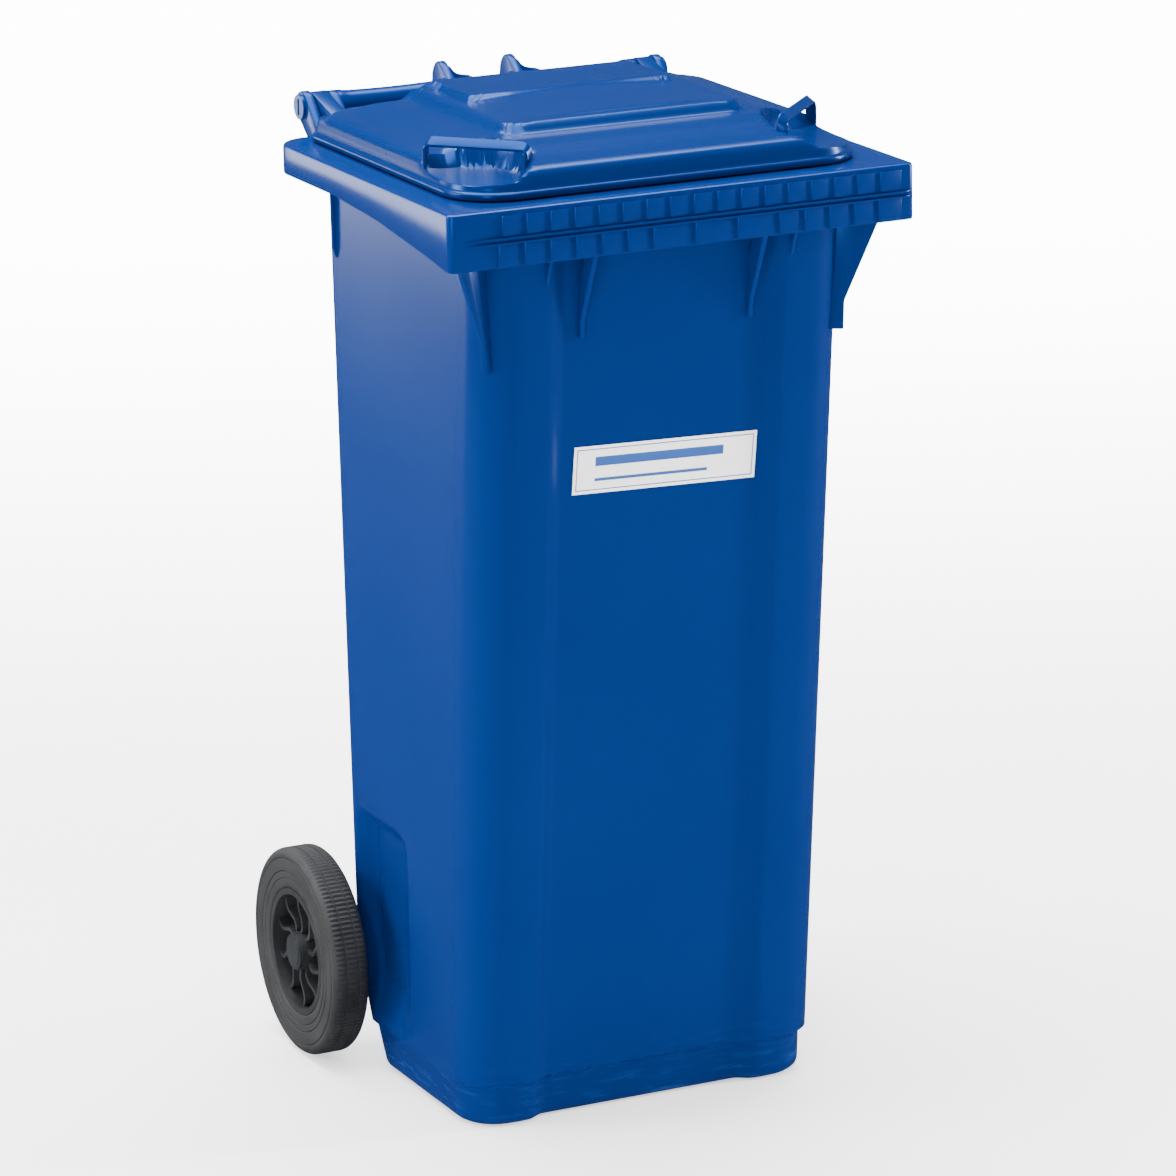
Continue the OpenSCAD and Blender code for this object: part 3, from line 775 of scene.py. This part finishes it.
    def _handles(self) -> bmesh.types.BMesh:
        """Ears, inner lugs, fins and the two handle bars behind the rim."""
        s = self.sizes
        bm = bmesh.new()
        plate(bm, self._eye(15.0), Plane.YZ, s.ear_out - s.ear_t, s.ear_t, 1.6)
        plate(bm, self._eye(13), Plane.YZ, s.bar_end, s.lug_t, 1.0)
        y, z = s.hinge_y, s.hinge_z
        fin = [(s.rear_y - 3, s.rim_z - 3), (s.rear_y + 1, s.rim_z + 3), (y - 25, z + 4), (y - 22, z + 9),
               (y - 17, z + 11.2), (y - 10, z + 13), (y - 4, z + 15.6), (y + 2, z + 19.4), (y + 7, z + 23.2),
               (y + 11, z + 25.6), (y + 16, z + 27), (y + 20, z + 26.4), (y + 24, z + 24), (y + 28, z + 19.5),
               (y + 31, z + 13), (y + 32, z + 6), (y + 31, z), (y + 28, z - 5), (y + 20, z - 11.6),
               (y + 8, z - 15),
               (s.rear_y - 0.5, s.rim_z - s.skirt_h + 1), (s.rear_y - 3, s.rim_z - s.skirt_h + 1)]
        plate(bm, fin, Plane.YZ, s.fin_x, s.fin_t, 1.6)
        self._bar(bm, s.fin_x + s.fin_t - 0.5, s.bar_end + 0.5)
        mirror_across(bm)
        for root in (s.fin_x + s.fin_t - 1.0, -s.fin_x - 1.0):
            web = [(root, z), (root, z + 24), (root + 3, z + 21.5), (root + 6, z + 17.5), (root + 11, z + 14),
                   (root + 18, z + 12), (root + 27, z + 10.5), (root + 30, z)]
            plate(bm, web, Plane.XZ, y + 6, 12.0, 1.4)
        w = s.fin_x + 1
        plate(bm, [(-w, s.rear_y - 2), (w, s.rear_y - 2), (w, s.rear_y + 6), (-w, s.rear_y + 6)],
              Plane.XY, s.rim_z - s.skirt_h + 4, 18.0, 1.5)
        self._bar(bm, -w, w)
        return bm

    def _bar(self, bm: bmesh.types.BMesh, x0: float, x1: float) -> None:
        """A handle bar: a round grip, waisted towards its middle, with moulded collars at its ends."""
        s = self.sizes
        r = s.bar_d / 2
        stations = [(0.0, r + 0.5), (0.03, r + 0.5), (0.05, r - 0.2), (0.1, r - 0.8), (0.3, r - 1.4),
                    (0.5, r - 1.6),
                    (0.7, r - 1.4), (0.9, r - 0.8), (0.95, r - 0.2), (0.97, r + 0.5), (1.0, r + 0.5)]
        rings = [[(mix(x0, x1, t), y, z) for y, z in arc(s.hinge_y, s.hinge_z, rr, 0, 360, 48)[:-1]]
                 for t, rr in stations]
        loft(bm, rings)

    def _lug(self, r: float, drop: float) -> Outline:
        """Outline of an axle lug seen along X."""
        s = self.sizes
        back = s.tub_rear(s.axle_z)
        return [(back - 3, s.axle_z + 62), (back + 9, s.axle_z + 62)] + arc(
            s.axle_y, s.axle_z, r, 62, -62, 20) + [(s.tub_rear(s.axle_z - drop) - 2.5, s.axle_z - drop)]

    def _lugs(self) -> bmesh.types.BMesh:
        """The four bearing lugs low on the rear wall, the outer ones box-shaped."""
        bm = bmesh.new()
        plate(bm, self._lug(17, 36), Plane.YZ, 105.0, 32.0, 1.6)
        plate(bm, self._lug(16, 36), Plane.YZ, 34.0, 6.0, 1.0)
        mirror_across(bm)
        return bm


# ---------------------------------------------------------------- lid


@dataclass
class Lid:
    """The domed lid with its platform, hinge arms and two corner straps."""

    sizes: Sizes
    body: str = "lid"
    node: str = "lid"
    shell: float = 3.0
    scoop_r: float = 56.0
    rows: int = 74

    def build(self) -> list[bpy.types.Object]:
        """Makes the lid's pieces.

        Returns:
            The pieces.
        """
        made = [self._finish("lid_shell", self._shell(), 34.0)]
        made.append(self._finish("lid_straps", self._straps(), 34.0))
        made.append(self._finish("lid_hinge_arms", self._arms(), 34.0))
        return made

    def _finish(self, name: str, bm: bmesh.types.BMesh, crease: float) -> bpy.types.Object:
        """Finishes one mesh as a piece of the lid."""
        return finish_piece(bm, name, self.body, Finishes.LID, (self.node,), crease)

    def _outline(self, inset: float) -> Outline:
        """The lid's outline moved inwards, 88 points a side."""
        s = self.sizes
        hw, yf, yr = s.lid_half - inset, s.lid_front + inset, s.lid_rear - inset
        rf, rr = max(54.0 - inset, 14.0), max(27.0 - inset, 10.0)
        rf, rr = min(rf, hw * 0.9, (yr - yf) * 0.45), min(rr, hw * 0.9, (yr - yf) * 0.45)
        half = [((hw - rf) * i / 26, yf) for i in range(26)]
        half += arc(hw - rf, yf + rf, rf, -90, 0, 34)
        half += [(hw, mix(yf + rf, yr - rr, (i + 1) / 36)) for i in range(35)]
        half += arc(hw - rr, yr - rr, rr, 0, 90, 14)
        half += [((hw - rr) * (19 - i) / 20, yr) for i in range(20)]
        return both_sides(half)

    def _top(self, x: float, y: float) -> float:
        """Height of the lid's upper face above its lower edge."""
        s = self.sizes
        inset = box_distance(x, y, s.lid_half, s.lid_front, s.lid_rear, 50.0)
        rise = mix(20.0, 27.0, math.sqrt(min(1.0, max(0.0, (inset - 6) / 10)))) + 12.5 * smooth(14, 74, inset)
        field_in = box_distance(x, y, s.lid_half - 79, s.lid_front + 87, s.lid_rear - 36, 24.0)
        rise += 9.5 * smooth(0.0, 10.0, field_in)
        plate_in = box_distance(x, y, s.lid_half - 99, s.lid_front + 104, s.lid_rear - 52, 10.0)
        edge = smooth(0.0, 4.5, plate_in)
        half = s.lid_half - 99
        dome = 4.6 * (1 - min(1.0, (x / half) ** 2))
        step_back = mix(s.lid_front + 101, s.lid_rear - 50, 0.52)
        step_front = step_back - 4.0
        raised = min(1.0, max(0.0, (y - step_front) / (step_back - step_front)))
        ramp = dome * (1 - smooth(0, 1, (step_back - y) / 75) * 0.6)
        rise += edge * mix(ramp, 6.0, raised)
        return rise

    def _scooped(self, x: float, y: float, rise: float, inner: float = -5.0, outer: float = 5.0) -> float:
        """Lowers the height inside the two round corner scoops.

        Args:
            x, y: the point.
            rise: the height without the scoops.
            inner, outer: where a scoop's side begins and ends, from its radius.

        Returns:
            The height with the scoops.
        """
        s = self.sizes
        cx, cy = s.lid_half - 22, s.lid_front + 50
        away = math.hypot(abs(x) - cx, y - cy)
        floor = 12.0 + 2.5 * (away / self.scoop_r) ** 2
        if rise <= floor:
            return rise
        return mix(floor, rise, smooth(self.scoop_r + inner, self.scoop_r + outer, away))

    def _shell(self) -> bmesh.types.BMesh:
        """The lid's upper face out to its lower edge, then its underside back to the middle."""
        s = self.sizes
        walls = [(0.4, 0.0), (0.0, 0.8), (-0.3, 2.5), (-0.4, 4.5), (0.1, 5.6), (1.4, 6.4), (2.4, 7.2),
                 (3.0, 9.0), (3.8, 12.0), (4.6, 15.0), (5.4, 17.6), (6.0, 20.0)]
        rings: list[Ring] = []
        for inset, z in walls:
            rings.append([(x, y, s.lid_z + self._scooped(x, y, z)) for x, y in self._outline(inset)])
        depth = (s.lid_rear - s.lid_front) / 2
        for i in range(1, self.rows):
            inset = mix(6.0, depth - 4.0, i / (self.rows - 1))
            rings.append([(x, y, s.lid_z + self._scooped(x, y, self._top(x, y)))
                          for x, y in self._outline(inset)])
        under: list[Ring] = [[(x, y, s.lid_z) for x, y in self._outline(self.shell)]]
        under += [[(x, y, s.lid_z + max(0.4, self._scooped(x, y, z, -4.0, 20.0) - self.shell))
                   for x, y in self._outline(inset + self.shell)] for inset, z in walls[4:]]
        for i in range(1, self.rows):
            inset = mix(6.0 + self.shell, depth - 4.0, i / (self.rows - 1))
            under.append([(x, y, s.lid_z + self._scooped(x, y, self._top(x, y), -4.0, 20.0) - self.shell)
                          for x, y in self._outline(inset)])
        bm = bmesh.new()
        loft(bm, list(reversed(rings)) + under)
        bmesh.ops.recalc_face_normals(bm, faces=bm.faces)
        return bm

    def _straps(self) -> bmesh.types.BMesh:
        """The curved ribbon across each scooped corner."""
        s = self.sizes
        cx, cy = s.lid_half - 43, s.lid_front + 69
        along = Vector((math.cos(math.radians(47)), math.sin(math.radians(47)), 0))
        across = Vector((along.y, -along.x, 0))
        bm = bmesh.new()
        half, top, foot, bend = 50.0, 40.0, 12.0, 7.0
        track = [(-half, foot, 1.0)] + [(-half, mix(foot, top - bend, i / 5), 1.0) for i in range(1, 6)]
        turn = arc(bend - half, top - bend, bend, 180, 90, 6)
        track += [(x, z, 1 - t / 6) for t, (x, z) in enumerate(turn) if t]
        track += [(mix(bend - half, half - bend, i / 10), top, 0.0) for i in range(1, 10)]
        track += [(x, z, t / 6) for t, (x, z) in enumerate(arc(half - bend, top - bend, bend, 90, 0, 6))]
        track += [(half, mix(top - bend, foot, i / 5), 1.0) for i in range(1, 6)]
        rings = []
        for i, (run, lift, down) in enumerate(track):
            prior, after = track[max(0, i - 1)], track[min(len(track) - 1, i + 1)]
            ahead = Vector((after[0] - prior[0], after[1] - prior[1])).normalized()
            normal = along * -ahead.y + Vector((0, 0, ahead.x))
            tilt = math.radians(mix(50, 6, down))
            wide = across * math.cos(tilt) - normal * math.sin(tilt)
            thick = across * math.sin(tilt) + normal * math.cos(tilt)
            point = Vector((cx, cy, s.lid_z + lift)) + along * run
            corners = [(5.2, 1.0), (4.4, 1.9), (0.0, 2.3), (-4.4, 1.9), (-5.2, 1.0), (-5.2, -1.0),
                       (-4.4, -1.7), (0.0, -1.3), (4.4, -1.7), (5.2, -1.0)]
            rings.append([tuple(point + wide * a + thick * b) for a, b in corners])
        loft(bm, rings)
        mirror_across(bm)
        return bm

    def _arms(self) -> bmesh.types.BMesh:
        """The two hinge arms with their knuckles."""
        s = self.sizes
        start = s.ear_out - s.ear_t - s.knuckle_w - s.gap
        outline = [(s.lid_rear - 8, s.lid_z + 20)] + arc(s.hinge_y, s.hinge_z, 13.5, 112, -68, 26) + [
            (s.lid_rear - 1, s.lid_z + 7), (s.lid_rear - 8, s.lid_z + 8)]
        bm = bmesh.new()
        plate(bm, outline, Plane.YZ, start, s.knuckle_w, 1.2)
        mirror_across(bm)
        return bm


# ---------------------------------------------------------------- wheels


class Side(Enum):
    """Which side of the bin a wheel is on, as the sign of its X."""

    LEFT = -1
    RIGHT = 1


@dataclass
class Wheel:
    """One wheel's solid tyre; the centre and the hub cap are the frame's own nodes."""

    sizes: Sizes
    side: Side
    tyre_r: float = 103.0
    tyre_w: float = 38.0
    tyre_face: float = 240.0
    seat_r: float = 63.0
    notches: int = 132

    @property
    def word(self) -> str:
        """The side as a word for names."""
        return self.side.name.lower()

    def build(self) -> list[bpy.types.Object]:
        """Makes the wheel's pieces.

        Returns:
            The new pieces.
        """
        body = f"wheel_{self.word}"
        return [finish_piece(self._tyre(), f"notched_tyre_{self.word}", body, Finishes.TYRE,
                             (f"tyre_{self.word}",), 28.0)]

    def _place(self, bm: bmesh.types.BMesh) -> None:
        """Moves a mesh made about the X axis to this wheel's axle."""
        s = self.sizes
        if self.side is Side.LEFT:
            bmesh.ops.scale(bm, vec=(-1, 1, 1), verts=bm.verts)
            bmesh.ops.reverse_faces(bm, faces=bm.faces)
        bmesh.ops.translate(bm, verts=bm.verts, vec=(0, s.axle_y, s.axle_z))

    def _section(self) -> Outline:
        """The tyre's section as radius and X, from the bead over the tread and back."""
        r, w, f = self.tyre_r, self.tyre_w, self.tyre_face
        inner = self.seat_r + 0.1
        out = [(inner, f - 3.0), (inner + 1.5, f - 1.6), (inner + 4.0, f - 1.0), (inner + 9.0, f - 0.9),
               (inner + 9.8, f - 1.7), (inner + 10.8, f - 0.9), (inner + 16.0, f - 0.6),
               (inner + 16.8, f - 1.4),
               (inner + 17.8, f - 0.5), (r - 17.0, f), (r - 11.0, f - 0.1), (r - 10.2, f - 1.1),
               (r - 9.2, f - 0.4)]
        out += [(r - 8 + 8 * math.sin(math.radians(a)), f - 8 + 8 * math.cos(math.radians(a)))
                for a in (10, 25, 40, 55, 70)]
        out += [(r, f - 8.0), (r, f - 11.4), (r - 1.4, f - 12.0), (r - 1.4, f - 13.4), (r, f - 14.0),
                (r, f - w / 2)]
        back = [(a, 2 * f - w - x) for a, x in reversed(out[:-1])]
        return out + back

    def _tyre(self) -> bmesh.types.BMesh:
        """The tyre spun about the axle, with fine cross notches in the tread."""
        bm = bmesh.new()
        verts = [bm.verts.new((x, 0.0, r)) for r, x in self._section()]
        edges = [bm.edges.new(pair) for pair in zip(verts, verts[1:] + verts[:1])]
        steps = self.notches * 2
        bmesh.ops.spin(bm, geom=verts + edges, cent=(0, 0, 0), axis=(1, 0, 0), angle=math.tau, steps=steps,
                       use_merge=True)
        pitch = math.tau / steps
        for vert in bm.verts:
            radius = math.hypot(vert.co.y, vert.co.z)
            if radius > self.tyre_r - 3.2:
                turn = round(math.atan2(vert.co.y, vert.co.z) / pitch)
                if turn % 2 == 0:
                    drop = 1.1 * smooth(self.tyre_r - 3.4, self.tyre_r, radius)
                    vert.co.y *= (radius - drop) / radius
                    vert.co.z *= (radius - drop) / radius
        self._place(bm)
        return bm


# ---------------------------------------------------------------- dressing the frame's own nodes


@dataclass(frozen=True)
class FrameNodes:
    """The frame nodes that stay as they are and only get a finish."""

    finishes: tuple[tuple[str, Finishes], ...] = (
        ("axle", Finishes.STEEL), ("hinge_pin_left", Finishes.PIN), ("hinge_pin_right", Finishes.PIN),
        ("wheel_rim_left", Finishes.WHEEL), ("wheel_rim_right", Finishes.WHEEL),
        ("spacer_left", Finishes.WHEEL), ("spacer_right", Finishes.WHEEL),
        ("retaining_ring_left", Finishes.STEEL), ("retaining_ring_right", Finishes.STEEL),
        ("hub_cap_left", Finishes.CAP), ("hub_cap_right", Finishes.CAP), ("front_label", Finishes.LABEL))

    def dress(self, nodes: dict[str, bpy.types.Object]) -> None:
        """Assigns each node's finish.

        Args:
            nodes: the frame's nodes by name.
        """
        for name, finish in self.finishes:
            obj = nodes[name]
            mat = finish.value[0].material()
            if not obj.material_slots:
                obj.data.materials.append(mat)
            for slot in obj.material_slots:
                slot.material = mat
            LOG.info("%s: dressed with %s", name, mat.name)


# ---------------------------------------------------------------- studio


@dataclass(frozen=True)
class Studio:
    """Pale sweep, soft lights and the camera."""

    eye_mm: tuple[float, float, float] = (-2340.0, -4961.8, 1995.4)
    turn_deg: float = -25.387
    tilt_deg: float = 15.469
    roll_deg: float = -1.077
    focal_px: float = 5940.0
    frame_px: float = 1176.0

    def build(self) -> None:
        """Makes the sweep, the lights and the camera."""
        self._sweep()
        self._lights()
        self._camera()

    def _sweep(self) -> None:
        """A floor that curves up into a pale wall behind the bin."""
        bm = bmesh.new()
        bmesh.ops.create_grid(bm, x_segments=8, y_segments=60, size=1.0)
        for vert in bm.verts:
            t = (vert.co.y + 1) / 2
            x = vert.co.x * 12.0
            run = t * 20.0 - 7.0
            bend, r = 6.0, 3.0
            if run <= bend:
                vert.co = (x, run, -0.0006)
            elif run <= bend + r * math.pi / 2:
                a = (run - bend) / r
                vert.co = (x, bend + r * math.sin(a), r * (1 - math.cos(a)) - 0.0006)
            else:
                vert.co = (x, bend + r, run - bend - r * math.pi / 2 + r)
        turn = Matrix.Rotation(math.radians(self.turn_deg), 4, "Z")
        bmesh.ops.transform(bm, matrix=turn, verts=bm.verts)
        mesh = bpy.data.meshes.new("studio_sweep")
        bm.to_mesh(mesh)
        bm.free()
        mesh.shade_smooth()
        mesh.materials.append(StudioPaintAndPaintedGlow().material())
        obj = bpy.data.objects.new("studio_sweep", mesh)
        bpy.context.scene.collection.objects.link(obj)
        # Kept out of reflections, which would turn the lid's top pale.
        obj.visible_glossy = False

    def _area(self, name: str, place: tuple[float, float, float], aim: tuple[float, float, float],
              size: tuple[float, float], power: float) -> None:
        """One soft box.

        Args:
            name: its name.
            place: where it hangs, in metres.
            aim: the point it faces.
            size: its width and height.
            power: watts.
        """
        light = bpy.data.lights.new(name, "AREA")
        light.shape = "RECTANGLE"
        light.size, light.size_y = size
        light.energy = power
        obj = bpy.data.objects.new(name, light)
        obj.location = place
        obj.rotation_euler = (Vector(aim) - Vector(place)).to_track_quat("-Z", "Y").to_euler()
        bpy.context.scene.collection.objects.link(obj)

    def _lights(self) -> None:
        """A big overhead, two boxes on the left, a narrow strip each side, and the room."""
        self._area("overhead_box", (-0.3, 0.3, 3.6), (0.0, 0.1, 0.0), (3.2, 3.2), 480.0)
        self._area("sheen_box", (-2.2, 3.6, 0.5), (0.0, 0.0, 0.75), (1.2, 0.9), 30.0)
        self._area("left_box", (-3.4, 1.0, 1.9), (0.0, 0.0, 0.8), (1.2, 1.6), 150.0)
        self._area("left_strip", (-2.2, -2.5, 1.35), (0.0, 0.0, 0.55), (0.2, 1.9), 55.0)
        self._area("right_strip", (3.0, -1.0, 1.35), (0.0, 0.0, 0.55), (0.2, 1.9), 150.0)
        world = bpy.data.worlds.new("studio_room")
        world.use_nodes = True
        back = world.node_tree.nodes["Background"]
        back.inputs["Color"].default_value = (1.0, 1.0, 1.0, 1.0)
        back.inputs["Strength"].default_value = 0.10
        bpy.context.scene.world = world

    def _camera(self) -> None:
        """The camera, with its turn, tilt and roll."""
        cam = bpy.data.cameras.new("studio_camera")
        cam.sensor_width = 36.0
        cam.lens = self.focal_px / self.frame_px * 36.0
        cam.clip_end = 100.0
        cam.dof.use_dof = False
        obj = bpy.data.objects.new("studio_camera", cam)
        a, e, roll = (math.radians(v) for v in (self.turn_deg, self.tilt_deg, self.roll_deg))
        back = Vector((math.sin(a) * math.cos(e), -math.cos(a) * math.cos(e), math.sin(e)))
        right = (-back).cross(Vector((0, 0, 1))).normalized()
        up = right.cross(-back)
        side = right * math.cos(roll) + up * math.sin(roll)
        top = up * math.cos(roll) - right * math.sin(roll)
        turn = Matrix((side, top, back)).transposed().to_4x4()
        obj.matrix_world = Matrix.Translation(Vector(self.eye_mm) * MM) @ turn
        bpy.context.scene.collection.objects.link(obj)
        bpy.context.scene.camera = obj


# ---------------------------------------------------------------- the whole bin


def main() -> None:
    """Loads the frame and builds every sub-assembly."""
    logging.basicConfig(level=logging.INFO, format="%(name)s %(message)s")
    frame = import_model()
    sizes = Sizes()
    Studio().build()
    pieces = Container(sizes).build()
    pieces += Lid(sizes).build()
    for side in Side:
        pieces += Wheel(sizes, side).build()
    FrameNodes().dress(frame["nodes"])
    LOG.info("%d pieces made", len(pieces))


if __name__ == "__main__":
    main()
